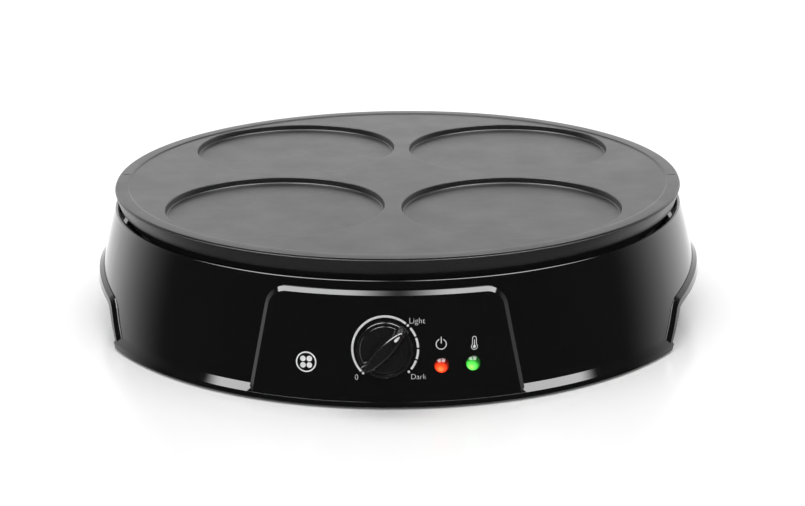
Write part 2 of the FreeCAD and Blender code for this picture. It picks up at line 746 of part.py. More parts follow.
def element_clips():
    """Saddles that carry the heater above the pan."""
    z = heater_height()
    count = 0
    t = float(s.sheet)
    r = float(s.heater_radius + s.saddle_clearance)
    floor = float(s.pan_floor)
    wide = float(s.clip_width)
    long = float(s.clip_foot)
    for ring, angles in CLIP_PLACES:
        for angle in angles:
            count += 1
            turn = Rotation(Vector(0, 0, 1), angle)
            spot = turn.multVec(Vector(SIZES[ring], 0, 0))
            saddle = Part.makeCylinder(r + t, wide, Vector(0, -wide / 2, z), Vector(0, 1, 0))
            saddle = saddle.cut(Part.makeCylinder(r, 2 * wide, Vector(0, -wide, z), Vector(0, 1, 0)))
            saddle = saddle.cut(Part.makeBox(4 * r, 2 * wide, 3 * r, Vector(-2 * r, -wide, z)))
            post_high = z - r - t / 2 - floor
            post = Part.makeBox(t * 1.5, wide, post_high, Vector(-t * 0.75, -wide / 2, floor))
            foot = Part.makeBox(long, wide, t, Vector(-long / 2, -wide / 2, floor))
            clip = saddle.fuse([post, foot]).removeSplitter()
            clip.Placement = Placement(Vector(spot.x, spot.y, 0), turn)
            node(f"element_clip_{count}", shape_node(f"element_clip_{count}", clip))


def plate_rests():
    """Ceramic buttons on the shelf that carry the plate's locating ring."""
    for index, angle in enumerate(REST_ANGLES, start=1):
        place = around(angle + 12.0, s.rest_ring, s.shelf_top)
        rest = cylinder(f"plate_rest_{index}", s.rest_radius, s.ring_bottom - s.shelf_top, place)
        node(f"plate_rest_{index}", rest)


def element_ends(feet):
    """The ceramic bush and the spade tab on each end of the heater."""
    for index, foot in enumerate(feet, start=1):
        bush = body(f"terminal_bush_{index}")
        low = s.pan_floor - 6.0
        top = s.pan_floor + 1.6
        bore = s.heater_radius + s.bush_clearance
        sleeve = s.heater_radius + s.bush_wall
        flange = s.heater_radius + s.bush_flange
        turned(bush, f"bush_turn_{index}", [
            (bore, low), (sleeve, low), (sleeve, s.pan_floor), (flange, s.pan_floor),
            (flange, top), (bore, top),
        ])
        bush.Placement = at(foot.x, foot.y)
        node(f"terminal_bush_{index}", bush)
        pin = cylinder(f"tab_pin_{index}", s.tab_pin, 5.0, at(foot.x, foot.y, foot.z - 5.0))
        corner = at(foot.x - float(s.tab_width) / 2, foot.y - float(s.tab_thick) / 2,
                    foot.z - 4.0 - float(s.tab_length))
        blade = block(f"tab_blade_{index}", s.tab_width, s.tab_thick, s.tab_length, corner)
        node(f"terminal_tab_{index}", combine("MultiFuse", f"terminal_tab_{index}", [pin, blade]))


# ---------------------------------------------------------------- dial, knob and thermostat
def control_knob():
    """The knob with its grip bar, bored for the thermostat's D-shaft."""
    knob = body("control_knob")
    low = s.knob_gap
    skirt_top = low + s.knob_skirt
    turned(knob, "knob_turn", [
        (0.0, low), (s.knob_radius, low), (s.knob_radius, skirt_top),
        (s.knob_radius - 0.5, skirt_top + 0.5), (s.knob_radius - s.knob_bevel, skirt_top + 0.7),
        (s.knob_radius - s.knob_bevel - 0.6, skirt_top), (0.0, skirt_top),
    ])
    half = s.bar_length / 2.0
    wide = s.bar_width / 2.0
    end = s.bar_end / 2.0
    swell = wide - end
    side = (half * half + swell * swell) / (2.0 * swell)
    bar = sketch_in(knob, "bar_outline", "XY_Plane", skirt_top)
    outline(bar, [
        (end, -half, side), (end, half, end * 1.15), (-end, half, side), (-end, -half, end * 1.15),
    ])
    raised(knob, "bar", bar, s.knob_top - skirt_top, s.bar_draft)
    pointer_low = s.knob_top - s.pointer_sink
    seat = sketch_in(knob, "pointer_seat", "XY_Plane", s.knob_top)
    outline(seat, pointer_outline())
    pocket(knob, "pointer_pocket", seat, s.pointer_sink)
    bore = sketch_in(knob, "shaft_bore", "XY_Plane", 0.0)
    flat = s.shaft_flat + s.leaf_thick + 0.05
    outline(bore, d_outline(s.shaft_radius + s.run_clearance, flat))
    pocket(knob, "shaft_pocket", bore, 10.5, upward=True)
    place = dial_place(turn=-float(s.pointer_turn))
    knob.Placement = place
    node("control_knob", knob)

    mark = body("knob_pointer")
    raised(mark, "pointer_pad", outline(sketch_in(mark, "pointer_face", "XY_Plane", pointer_low),
                                        pointer_outline()), s.pointer_sink + s.pointer_proud)
    mark.Placement = place
    node("knob_pointer", mark)

    shaft = body("thermostat_shaft")
    face = outline(sketch_in(shaft, "shaft_face", "XY_Plane", -20.0),
                   d_outline(s.shaft_radius, s.shaft_flat))
    raised(shaft, "shaft_pad", face, 30.0)
    shaft.Placement = place
    node("thermostat_shaft", shaft)

    leaf = block("knob_spring_leaf", s.leaf_width, s.leaf_thick, 7.0,
                 place.multiply(at(-s.leaf_width / 2.0, s.shaft_flat, 2.5)))
    node("knob_spring_leaf", leaf)
    return knob


def pointer_outline():
    """The pointer's outline, near the far end of the grip bar."""
    tip = s.bar_length / 2.0 - s.pointer_inset
    root = tip - s.pointer_length
    half = s.pointer_width / 2.0
    return [(half, root), (half, tip), (-half, tip), (-half, root, half * 1.02)]


def d_outline(radius, flat):
    """A circle with one flat, cut at y = flat."""
    reach = math.sqrt(float(radius) ** 2 - float(flat) ** 2)
    low = -float(radius)
    return [
        (0.0, low, radius), (radius, 0.0, radius), (reach, flat), (-reach, flat, radius),
        (-radius, 0.0, radius),
    ]


def thermostat():
    """The thermostat behind the dial: frame, ceramic stack, bimetal strip and screws."""
    back = float(s.wall + s.thermostat_gap)
    t = float(s.thermostat_sheet)
    half_long = float(s.thermostat_long) / 2
    half_wide = float(s.thermostat_wide) / 2
    aside = float(s.thermostat_screw)
    frame_plate = block("thermostat_plate", s.thermostat_long, s.thermostat_wide,
                        s.thermostat_sheet, dial_place(-half_long, -half_wide, -back - t))
    arm = block("thermostat_arm", s.thermostat_long / 3.0, s.thermostat_sheet, 14.0,
                dial_place(-half_long / 3, half_wide - t, -back - 14.0))
    holes = [cylinder("frame_shaft_hole", s.shaft_radius + s.run_clearance, 6.0,
                      dial_place(z=-back - 3.0))]
    for index, side in enumerate((-1, 1), start=1):
        place = dial_place(side * aside, 0, -back - 3.0)
        hole = s.screw_radius + s.hole_clearance
        holes.append(cylinder(f"frame_screw_hole_{index}", hole, 6.0, place))
    frame = cut("thermostat_frame", combine("MultiFuse", "frame_raw", [frame_plate, arm]),
                combine("Compound", "frame_holes", holes))
    node("thermostat_frame", frame)
    stack_low = -back - t - float(s.stack_height)
    stack = cut("thermostat_stack",
                cylinder("stack_raw", s.stack_radius, s.stack_height, dial_place(z=stack_low)),
                cylinder("stack_bore", s.shaft_radius + s.hole_clearance, s.stack_height + 2.0,
                         dial_place(z=stack_low - 1.0)))
    node("thermostat_stack", stack)
    strip = block("thermostat_bimetal", 9.0, 30.0, 0.7, dial_place(-4.5, -24.0, stack_low - 0.7))
    node("thermostat_bimetal", strip)
    screws = []
    facing_in = Rotation(Vector(1, 0, 0), 180.0)
    for index, side in enumerate((-1, 1), start=1):
        place = dial_place(side * aside, 0, -back - t).multiply(Placement(Vector(), facing_in))
        head = cylinder(f"thermostat_head_{index}", s.screw_head, s.screw_head_thick, place)
        shank = cylinder(f"thermostat_shank_{index}", s.screw_radius, 6.0,
                         dial_place(side * aside, 0, -back - t - 0.5))
        screws.append(combine("MultiFuse", f"thermostat_screw_{index}", [head, shank]))
    node("thermostat_screws", combine("Compound", "thermostat_screws", screws))
    return stack_low


def lamps():
    """Each lamp: a domed lens, a neon bulb behind it and a push-on clip."""
    for name, angle in LAMPS.items():
        place = on_console(angle, s.lamp_height)
        lens = body(name + "_lens")
        r = s.lamp_radius
        dome = (r * r + s.lamp_dome * s.lamp_dome) / (2.0 * s.lamp_dome)
        bore = s.lamp_radius - s.lamp_shell
        turned(lens, name + "_turn", [
            (bore, -s.lamp_depth), (r, -s.lamp_depth), (r, 0.0, dome), (0.0, s.lamp_dome),
            (0.0, -1.5), (bore, -1.5),
        ])
        lens.Placement = place
        node(name + "_lens", lens)
        bulb = body(name + "_bulb")
        turned(bulb, name + "_bulb_turn", [
            (0.0, -s.bulb_end), (s.bulb_radius, -s.bulb_end),
            (s.bulb_radius, s.bulb_radius * -2.0, s.bulb_radius), (0.0, -s.bulb_radius),
        ])
        bulb.Placement = place
        node(name + "_bulb", bulb)
        behind = -float(s.wall + s.clip_thick) - 0.3
        ring = cut(name + "_clip",
                   cylinder(name + "_clip_raw", s.lamp_radius + s.clip_flange, s.clip_thick,
                            place.multiply(at(z=behind))),
                   cylinder(name + "_clip_bore", s.lamp_radius, s.clip_thick * 3.0,
                            place.multiply(at(z=behind - float(s.clip_thick)))))
        node(name + "_clip", ring)


# ---------------------------------------------------------------- underside and cord entry
def bottom_cover():
    """The screwed cover: a disc cut straight beside the hand holds, with vent slots."""
    cover = body("bottom_cover")
    flat = float(s.grip_depth - s.wall - s.cover_clearance)
    end = math.sqrt(float(s.cover_radius) ** 2 - flat ** 2)
    x = s.grip_depth - s.wall - s.cover_clearance
    rim = outline(sketch_in(cover, "cover_outline", "XY_Plane", s.cover_bottom), [
        (-x, -end, s.cover_radius), (x, -end), (x, end, s.cover_radius), (-x, end),
    ])
    raised(cover, "cover_pad", rim, s.cover_thick)
    holes = sketch_in(cover, "cover_holes", "XY_Plane", s.cover_top)
    for place in cover_screw_places():
        circle(holes, place.Base.x, place.Base.y, s.screw_radius + s.hole_clearance)
    for place in foot_places():
        circle(holes, place.Base.x, place.Base.y, s.foot_plug + s.run_clearance)
    pocket(cover, "cover_hole_pocket", holes, s.cover_thick)
    slot = sketch_in(cover, "vent", "XY_Plane", s.cover_top)
    half = s.vent_length / 2.0
    w = s.vent_width / 2.0
    outline(slot, [
        (s.vent_ring - half, -w), (s.vent_ring + half, -w, w * 1.001),
        (s.vent_ring + half, w), (s.vent_ring - half, w, w * 1.001),
    ])
    vent = pocket(cover, "vent_pocket", slot, s.cover_thick)
    spread = cover.newObject("PartDesign::PolarPattern", "vents")
    spread.Originals = [vent]
    spread.Axis = (slot, ["N_Axis"])
    spread.Angle = 360.0
    spread.Occurrences = 24
    cover.Tip = spread
    node("bottom_cover", cover)
    screws = []
    facing_down = Rotation(Vector(1, 0, 0), 180.0)
    for index, place in enumerate(cover_screw_places(), start=1):
        under = Placement(place.Base - Vector(0, 0, float(s.cover_thick) - 1.0), facing_down)
        head = cylinder(f"cover_head_{index}", s.screw_head, 1.0,
                        under.multiply(at(z=1.0)))
        shank = cylinder(f"cover_shank_{index}", s.screw_radius, 10.0,
                         Placement(under.Base - Vector(0, 0, 1.5), Rotation()))
        screws.append(combine("MultiFuse", f"cover_screw_{index}", [head, shank]))
    node("cover_screws", combine("Compound", "cover_screws", screws))


def foot_places():
    return [around(angle, s.foot_ring, 0.0) for angle in REST_ANGLES]


def feet():
    """Rubber feet plugged into the cover."""
    for index, place in enumerate(foot_places(), start=1):
        foot = body(f"foot_{index}")
        top = s.cover_top + 0.05
        turned(foot, f"foot_turn_{index}", [
            (0.0, 0.0), (s.foot_size - 0.6, 0.0), (s.foot_size, 0.6), (s.foot_size, s.cover_bottom),
            (s.foot_plug, s.cover_bottom), (s.foot_plug, top), (s.foot_plug + 0.8, top),
            (s.foot_plug - 0.8, top + 2.4), (0.0, top + 2.4),
        ])
        foot.Placement = place
        node(f"foot_{index}", foot)


def cord_gland(reach):
    """The bush in the rear wall. It ends as far back as the knob reaches forward."""
    gland = body("cord_gland")
    wall_out = s.hem_radius
    wall_in = s.hem_radius - s.gland_seat_depth
    turned(gland, "gland_turn", [
        (s.cord_bore, wall_in - s.gland_rim), (s.gland_flange, wall_in - s.gland_rim),
        (s.gland_flange, wall_in), (s.gland_radius, wall_in), (s.gland_radius, wall_out),
        (s.gland_flange, wall_out), (s.gland_flange, wall_out + s.gland_rim),
        (s.gland_flange - s.gland_rim, wall_out + s.gland_rim * 1.5),
        (s.cord_bore + 1.6, reach), (s.cord_bore, reach),
    ])
    gland.Placement = Placement(Vector(0, 0, float(s.gland_height)),
                                Rotation(Vector(1, 0, 0), -90.0))
    return node("cord_gland", gland)


# ---------------------------------------------------------------- wiring
def wire_path(points, bend):
    """Straight runs joined by tangent arcs of one radius, or less where a run is short."""
    edges = []
    here = points[0]
    for k in range(1, len(points) - 1):
        before = (points[k - 1] - points[k])
        after = (points[k + 1] - points[k])
        turn = math.pi - before.getAngle(after)
        room = 0.45 * min(before.Length, after.Length)
        trim = min(bend * math.tan(turn / 2), room)
        radius = trim / math.tan(turn / 2)
        start = points[k] + before.normalize() * trim
        end = points[k] + after.normalize() * trim
        inward = (before + after).normalize()
        centre = points[k] + inward * math.hypot(radius, trim)
        middle = centre - inward * radius
        edges.append(Part.LineSegment(here, start).toShape())
        edges.append(Part.Arc(start, middle, end).toShape())
        here = end
    edges.append(Part.LineSegment(here, points[-1]).toShape())
    return Part.Wire(edges)


def wire(name, points, radius=1.3, bend=14.0):
    points = [Vector(*p) for p in points]
    path = wire_path(points, bend)
    node(name, shape_node(name, tube_along(path, radius)))


def wiring(feet_of_heater, stack_low):
    """Terminal block, fuse, earth screw and the leads between them."""
    bx, by, bz = -float(s.block_long) / 2, float(s.block_front), float(s.cover_top)
    middle = by + float(s.block_wide) / 2
    ways_x = [bx + float(s.block_edge + s.block_pitch * k) for k in range(3)]
    way_z = bz + float(s.block_high) / 2
    along = Rotation(Vector(1, 0, 0), -90.0)
    block_raw = block("block_raw", s.block_long, s.block_wide, s.block_high, at(bx, by, bz))
    ways = [
        cylinder(f"block_way_{k}", s.block_way, s.block_wide + 2.0, at(x, by - 1.0, way_z, along))
        for k, x in enumerate(ways_x)
    ]
    wells = [
        cylinder(f"block_well_{k}", 2.4, 6.0, at(x, middle, way_z + float(s.block_way)))
        for k, x in enumerate(ways_x)
    ]
    node("terminal_block", cut("terminal_block", block_raw,
                               combine("Compound", "block_holes", ways + wells)))
    heads = [
        cylinder(f"block_screw_{k}", 1.9, 4.0, at(x, middle, way_z + float(s.block_way) + 0.3))
        for k, x in enumerate(ways_x)
    ]
    node("block_screws", combine("Compound", "block_screws", heads))
    way = [(x, by + 2.0, way_z) for x in ways_x]
    outer, inner = feet_of_heater
    sockets = []
    for index, foot in enumerate((outer, inner), start=1):
        wide = float(s.tab_width) + 0.04
        thick = float(s.tab_thick) + 0.04
        raw = block(f"socket_raw_{index}", wide + 1.36, thick + 1.56, 9.0,
                    at(foot.x - wide / 2 - 0.68, foot.y - thick / 2 - 0.78, foot.z - 16.0))
        slot = block(f"socket_slot_{index}", wide, thick, 9.0,
                     at(foot.x - wide / 2, foot.y - thick / 2, foot.z - 14.0))
        sockets.append(cut(f"socket_{index}", raw, slot))
    node("spade_sockets", combine("Compound", "spade_sockets", sockets))
    stack = dial_place(0, 0, stack_low)

    def stack_points(x, y):
        """The last two points of a lead that meets the stack's rear face squarely."""
        return [tuple(stack.multVec(Vector(x, y, z))) for z in (-9.0, 0.0)]

    socket_low = outer.z - 16.0
    wire("live_lead", [way[0], (way[0][0], 104.0, 12.5), (-62.0, 62.0, 11.0), (-84.0, -8.0, 11.0),
                       (-70.0, -92.0, 12.0), (-48.0, -134.0, 12.0), (-24.0, -157.0, 17.0),
                       *stack_points(-6.0, -2.5)])
    wire("heater_lead", [(outer.x, outer.y, socket_low), (outer.x, outer.y, socket_low - 9.0),
                         (-20.0, -146.0, 18.0), (-9.0, -157.0, 27.0), *stack_points(-6.0, 2.5)],
         bend=8.0)
    wire("neutral_lead", [way[1], (way[1][0], 100.0, 12.5), (18.0, 50.0, 11.0), (16.0, -10.0, 11.0),
                          (-4.0, -58.0, 12.0), (inner.x, inner.y, 16.0),
                          (inner.x, inner.y, socket_low)], bend=12.0)
    earth_x, earth_y = EARTH_PLACE
    shank_end = float(s.pan_floor - s.screw_length)
    wire("earth_lead", [way[2], (way[2][0], 118.0, 12.5), (30.0, 104.0, 18.0), (52.0, 97.0, 32.0),
                        (earth_x, earth_y, shank_end - 5.0), (earth_x, earth_y, shank_end)], bend=10.0)
    node("earth_screw", screw("earth_screw", at(earth_x, earth_y, s.pan_floor)))
    fuse_height = float(s.pan_floor - s.sheet) - 3.2
    node("thermal_fuse", cylinder("thermal_fuse", 3.2, 34.0,
                                  at(-17.0, -20.0, fuse_height, Rotation(Vector(1, 0, 0), 90.0))))
    mids = {"power_lamp": [(19.0, -165.0, 27.0)], "ready_lamp": [(33.0, -161.0, 19.0),
                                                                (18.0, -158.0, 20.0)]}
    bulb_end = float(s.bulb_end)
    for (name, angle), end_up in zip(LAMPS.items(), (2.5, -2.5)):
        lamp = on_console(angle, s.lamp_height)
        start = [tuple(lamp.multVec(Vector(0, 0, z))) for z in (-bulb_end, -bulb_end - 8.0)]
        wire(name + "_lead", start + mids[name] + stack_points(6.0, end_up), radius=0.9, bend=6.0)


# ---------------------------------------------------------------- assembly and export
def check_and_export():
    """Stops on any failed object, then writes each sub-part to its own STEP file."""
    doc.recompute()
    for obj in doc.Objects:
        bad = [state for state in obj.State if state in ("Invalid", "Error")]
        if bad:
            raise RuntimeError(f"{obj.Name} is {bad[0]}")
    os.makedirs("parts", exist_ok=True)
    for name, obj in NODES.items():
        shape = obj.Shape
        if shape.isNull() or not shape.isValid() or not shape.Solids:
            raise RuntimeError(f"{name} has no valid solid")
        shape.exportStep(os.path.join("parts", name + ".step"))
        box = shape.BoundBox
        print(f"{name:20s} solids {len(shape.Solids):2d} volume {shape.Volume:10.0f} "
              f"z {box.ZMin:6.1f} {box.ZMax:6.1f} y {box.YMin:7.1f} {box.YMax:7.1f}")


housing()
griddle_plate()
reflector_pan()
heater_feet = heating_element()
element_clips()
plate_rests()
element_ends(heater_feet)
knob_object = control_knob()
stack_end = thermostat()
lamps()
bottom_cover()
feet()
doc.recompute()
cord_gland(-knob_object.Shape.BoundBox.YMin)
wiring(heater_feet, stack_end)
check_and_export()
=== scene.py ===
"""Looks for the electric griddle: fine meshes for the plate, knob, pointer and dial print,
procedural materials for every piece, and a studio with a camera a little above the table.

Metres, in the CAD frame: +Z up, the console faces -Y, z = 0 is the table.
"""
import json
import math

import bmesh
import bpy
from mathutils import Matrix, Vector
from mathutils.bvhtree import BVHTree
from mathutils.geometry import delaunay_2d_cdt


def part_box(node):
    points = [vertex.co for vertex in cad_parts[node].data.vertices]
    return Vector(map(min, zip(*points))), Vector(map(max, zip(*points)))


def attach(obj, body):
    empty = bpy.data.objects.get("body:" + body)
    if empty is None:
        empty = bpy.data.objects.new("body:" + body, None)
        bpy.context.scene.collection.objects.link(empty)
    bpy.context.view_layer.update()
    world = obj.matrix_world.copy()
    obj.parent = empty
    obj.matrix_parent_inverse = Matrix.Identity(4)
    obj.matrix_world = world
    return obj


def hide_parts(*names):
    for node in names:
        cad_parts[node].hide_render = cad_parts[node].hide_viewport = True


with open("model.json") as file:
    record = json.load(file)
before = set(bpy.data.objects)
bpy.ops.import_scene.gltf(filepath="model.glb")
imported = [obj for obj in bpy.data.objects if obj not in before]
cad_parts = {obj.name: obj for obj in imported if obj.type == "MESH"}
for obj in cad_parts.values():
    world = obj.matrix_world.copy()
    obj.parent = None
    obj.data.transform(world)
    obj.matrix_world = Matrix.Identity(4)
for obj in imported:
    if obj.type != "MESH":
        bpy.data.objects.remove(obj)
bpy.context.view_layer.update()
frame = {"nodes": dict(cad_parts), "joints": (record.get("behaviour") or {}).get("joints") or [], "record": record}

NODES = frame["nodes"]
JOINTS = {joint["name"]: joint for joint in frame["joints"]}
MM = 0.001

# ---------------------------------------------------------------- material helpers


class Nodes:
    """A node material under construction."""

    def __init__(self, name, **sockets):
        self.material = bpy.data.materials.new(name)
        self.material.use_nodes = True
        self.tree = self.material.node_tree
        self.shader = self.tree.nodes["Principled BSDF"]
        self.set(self.shader, **sockets)

    def set(self, node, **sockets):
        """Sets sockets by name, with underscores for spaces."""
        for name, value in sockets.items():
            node.inputs[name.replace("_", " ")].default_value = value
        return node

    def add(self, kind, **sockets):
        """Adds a shader node with its sockets set."""
        return self.set(self.tree.nodes.new("ShaderNode" + kind), **sockets)

    def link(self, output, socket):
        """Joins two sockets."""
        self.tree.links.new(output, socket)

    def place(self):
        """The surface's own coordinates, in metres."""
        if not hasattr(self, "coordinates"):
            self.coordinates = self.add("TexCoord").outputs["Object"]
        return self.coordinates

    def noise(self, scale, detail=4.0, roughness=0.55, stretch=None):
        """A noise pattern with a scale in features per metre."""
        node = self.add("TexNoise", Scale=scale, Detail=detail, Roughness=roughness)
        if stretch:
            mapping = self.add("Mapping", Scale=stretch)
            self.link(self.place(), mapping.inputs["Vector"])
            self.link(mapping.outputs["Vector"], node.inputs["Vector"])
        else:
            self.link(self.place(), node.inputs["Vector"])
        return node.outputs["Fac"]

    def ramp(self, value, stops):
        """Maps 0..1 to colours or greys through (position, colour) stops."""
        node = self.add("ValToRGB")
        elements = node.color_ramp.elements
        while len(elements) < len(stops):
            elements.new(0.5)
        for element, (position, colour) in zip(elements, stops):
            element.position = position
            grey = not isinstance(colour, tuple)
            element.color = (colour, colour, colour, 1.0) if grey else (*colour, 1.0)
        self.link(value, node.inputs["Fac"])
        return node.outputs["Color"]

    def colour(self, value, stops):
        """Drives the base colour by a pattern."""
        self.link(self.ramp(value, stops), self.shader.inputs["Base Color"])
        return self

    def roughness(self, value, low, high):
        """Drives the roughness by a pattern, from low to high."""
        self.link(self.ramp(value, [(0.3, low), (0.7, high)]), self.shader.inputs["Roughness"])
        return self

    def bump(self, value, distance, strength=1.0):
        """Adds a bump; several bumps chain."""
        node = self.add("Bump", Distance=distance, Strength=strength)
        self.link(value, node.inputs["Height"])
        socket = self.shader.inputs["Normal"]
        if socket.links:
            self.link(socket.links[0].from_socket, node.inputs["Normal"])
        self.link(node.outputs["Normal"], socket)
        return self


def gloss_plastic(name, dark, light, rough=(0.05, 0.09), level=0.5):
    """Polished moulded plastic with a faint haze and mould ripple."""
    m = Nodes(name, IOR=1.5, Specular_IOR_Level=level)
    m.colour(m.noise(18.0), [(0.3, dark), (0.7, light)])
    m.roughness(m.noise(45.0, detail=6.0), *rough)
    m.bump(m.noise(60.0, detail=2.0), 0.00002, 0.35)
    return m.material


def grained_plastic(name, dark, light):
    """Matt plastic with a fine spark-eroded grain."""
    m = Nodes(name, IOR=1.48)
    m.colour(m.noise(30.0), [(0.3, dark), (0.7, light)])
    m.roughness(m.noise(300.0), 0.45, 0.6)
    m.bump(m.noise(1800.0, detail=2.0), 0.00006, 0.6)
    return m.material


def coated_casting():
    """Sprayed non-stick coating on a casting: dark, satin and finely pebbled."""
    m = Nodes("coated_casting", IOR=1.5, Specular_IOR_Level=0.55)
    m.colour(m.noise(900.0, detail=3.0), [(0.35, (0.01, 0.01, 0.0105)), (0.65, (0.018, 0.0175, 0.018))])
    m.roughness(m.noise(40.0, detail=8.0, roughness=0.65), 0.33, 0.4)
    m.bump(m.noise(1400.0, detail=3.0), 0.00003, 0.5)
    m.bump(m.noise(120.0, detail=3.0), 0.00004, 0.4)
    return m.material


def sheet_metal(name, dark, light, rough, stretch=(1.0, 1.0, 40.0)):
    """Rolled or drawn metal with fine lines."""
    m = Nodes(name, Metallic=1.0)
    m.colour(m.noise(25.0), [(0.3, dark), (0.7, light)])
    m.roughness(m.noise(60.0, stretch=stretch), *rough)
    m.bump(m.noise(90.0, stretch=stretch), 0.00002, 0.4)
    return m.material


def mineral(name, dark, light, rough=(0.5, 0.7)):
    """Ceramic, rubber or insulation: a mottled, slightly uneven surface."""
    m = Nodes(name, IOR=1.5)
    m.colour(m.noise(250.0, detail=5.0), [(0.3, dark), (0.7, light)])
    m.roughness(m.noise(180.0), *rough)
    m.bump(m.noise(900.0, detail=3.0), 0.00005, 0.6)
    return m.material


def print_ink():
    """White pad print: slightly uneven cover over black."""
    m = Nodes("print_ink", IOR=1.48)
    m.colour(m.noise(2500.0, detail=2.0), [(0.25, 0.62), (0.6, 0.82)])
    m.roughness(m.noise(800.0), 0.3, 0.45)
    return m.material


def lit_lens(name, core, body, rim, glow, centre, radius):
    """A lamp's clear coloured dome, glowing from low in its middle to a dark rim."""
    m = Nodes(name, IOR=1.5, Emission_Strength=glow)
    shift = m.add("Mapping", Location=[-c for c in centre])
    m.link(m.place(), shift.inputs["Vector"])
    length = m.add("VectorMath")
    length.operation = "LENGTH"
    m.link(shift.outputs["Vector"], length.inputs[0])
    share = m.add("MapRange", From_Min=0.0, From_Max=radius)
    m.link(length.outputs["Value"], share.inputs["Value"])
    reach = share.outputs["Result"]
    m.colour(reach, [(0.0, body), (1.0, rim)])
    glow_colour = m.ramp(reach, [(0.0, core), (0.42, body), (0.78, rim), (0.92, (0.0, 0.0, 0.0))])
    m.link(glow_colour, m.shader.inputs["Emission Color"])
    m.roughness(m.noise(500.0), 0.04, 0.08)
    return m.material


MATERIALS = {
    "housing_black": gloss_plastic("housing_gloss", 0.0035, 0.0045, (0.045, 0.075)),
    "knob_black": gloss_plastic("knob_gloss", 0.006, 0.009, (0.08, 0.13), 0.9),
    "cover_black": grained_plastic("cover_grain", 0.008, 0.014),
    "plate_coating": coated_casting(),
    "steel": sheet_metal("plated_steel", 0.45, 0.6, (0.25, 0.4)),
    "element_sheath": sheet_metal("element_sheath", (0.09, 0.075, 0.06), (0.2, 0.17, 0.14), (0.4, 0.6)),
    "brass": sheet_metal("brass", (0.55, 0.38, 0.15), (0.7, 0.52, 0.25), (0.25, 0.4)),
    "ceramic": mineral("dark_ceramic", (0.01, 0.009, 0.008), (0.018, 0.016, 0.014), (0.75, 0.9)),
    "rubber": mineral("rubber", 0.01, 0.02, (0.6, 0.8)),
    "white_print": print_ink(),
    "wire_brown": mineral("wire_brown", (0.09, 0.035, 0.02), (0.13, 0.05, 0.03), (0.4, 0.55)),
    "wire_blue": mineral("wire_blue", (0.02, 0.06, 0.28), (0.03, 0.08, 0.36), (0.4, 0.55)),
    "wire_green": mineral("wire_green", (0.12, 0.3, 0.02), (0.3, 0.42, 0.03), (0.4, 0.55)),
}


def bulb_glass():
    """Clear glass with a faint unevenness."""
    m = Nodes("bulb_glass", IOR=1.5, Transmission_Weight=0.9)
    m.colour(m.noise(400.0), [(0.3, 0.8), (0.7, 0.95)])
    m.roughness(m.noise(600.0), 0.02, 0.06)
    return m.material


MATERIALS["bulb_glass"] = bulb_glass()

# ---------------------------------------------------------------- mesh helpers


def piece(name, mesh, body, material):
    """Makes an object from a bmesh, gives it its finish and lets it ride on a body."""
    data = bpy.data.meshes.new(name)
    mesh.to_mesh(data)
    mesh.free()
    data.polygons.foreach_set("use_smooth", [True] * len(data.polygons))
    made = bpy.data.objects.new(name, data)
    bpy.context.scene.collection.objects.link(made)
    data.materials.append(material)
    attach(made, body)
    return made


def console_frame():
    """The knob's axis as a matrix: +Z out of the console, +Y up along it, origin on its face."""
    joint = JOINTS["knob_turn"]
    out = Vector(joint["axis"]).normalized()
    side = Vector((1.0, 0.0, 0.0))
    up = out.cross(side)
    turn = Matrix((side, up, out)).transposed().to_4x4()
    return Matrix.Translation(Vector(joint["pos_m"])) @ turn


DIAL = console_frame()
HOUSING_TREE = BVHTree.FromObject(NODES["housing"], bpy.context.evaluated_depsgraph_get())
PRINT_LIFT = 0.04 * MM
PROBE_START = 30.0 * MM


def on_console(x, y):
    """The point of the housing's face in front of (x, y) in the dial's frame, lifted a little."""
    outward = DIAL.to_3x3() @ Vector((0.0, 0.0, 1.0))
    start = DIAL @ Vector((x, y, PROBE_START))
    hit, _, _, _ = HOUSING_TREE.ray_cast(start, -outward)
    return hit + outward * PRINT_LIFT


def printed(name, outlines):
    """A flat print made of outlines in the dial's frame (metres), laid on the console's face.
    The first outline is the outer edge and the others are holes."""
    mesh = bmesh.new()
    fill(mesh, outlines, on_console)
    return piece(name, mesh, "base", MATERIALS["white_print"])


def fill(mesh, outlines, place):
    """Triangulates a flat region between outlines and puts each point where place says."""
    points, edges = [], []
    for outline in outlines:
        first = len(points)
        points += [Vector(p) for p in outline]
        count = len(outline)
        edges += [(first + k, first + (k + 1) % count) for k in range(count)]
    flat, _, faces, _, _, _ = delaunay_2d_cdt(points, edges, [], 1, 1e-7)
    keep = [f for f in faces if inside(sum((flat[v] for v in f), Vector((0, 0))) / len(f), outlines)]
    used = sorted({v for f in keep for v in f})
    verts = {v: mesh.verts.new(place(*flat[v])) for v in used}
    for face in keep:
        mesh.faces.new([verts[v] for v in face])


def inside(point, outlines):
    """Even-odd test of a point against closed outlines."""
    crossings = 0
    for outline in outlines:
        for k, a in enumerate(outline):
            b = outline[(k + 1) % len(outline)]
            if (a[1] > point.y) != (b[1] > point.y):
                x = a[0] + (point.y - a[1]) * (b[0] - a[0]) / (b[1] - a[1])
                crossings += x > point.x
    return crossings % 2 == 1


def ring_points(radius, count, centre=(0.0, 0.0)):
    """Evenly spaced points of a circle."""
    step = 2.0 * math.pi / count
    return [(centre[0] + radius * math.cos(k * step), centre[1] + radius * math.sin(k * step))
            for k in range(count)]


def arc_band(radius, width, start, end, step=2.0):
    """The outline of part of a ring, angles in degrees clockwise from the top."""
    count = max(2, round(abs(end - start) / step))
    angles = [math.radians(start + (end - start) * k / count) for k in range(count + 1)]
    outer = [((radius + width / 2) * math.sin(a), (radius + width / 2) * math.cos(a)) for a in angles]
    inner = [((radius - width / 2) * math.sin(a), (radius - width / 2) * math.cos(a)) for a in angles]
    return outer + inner[::-1]


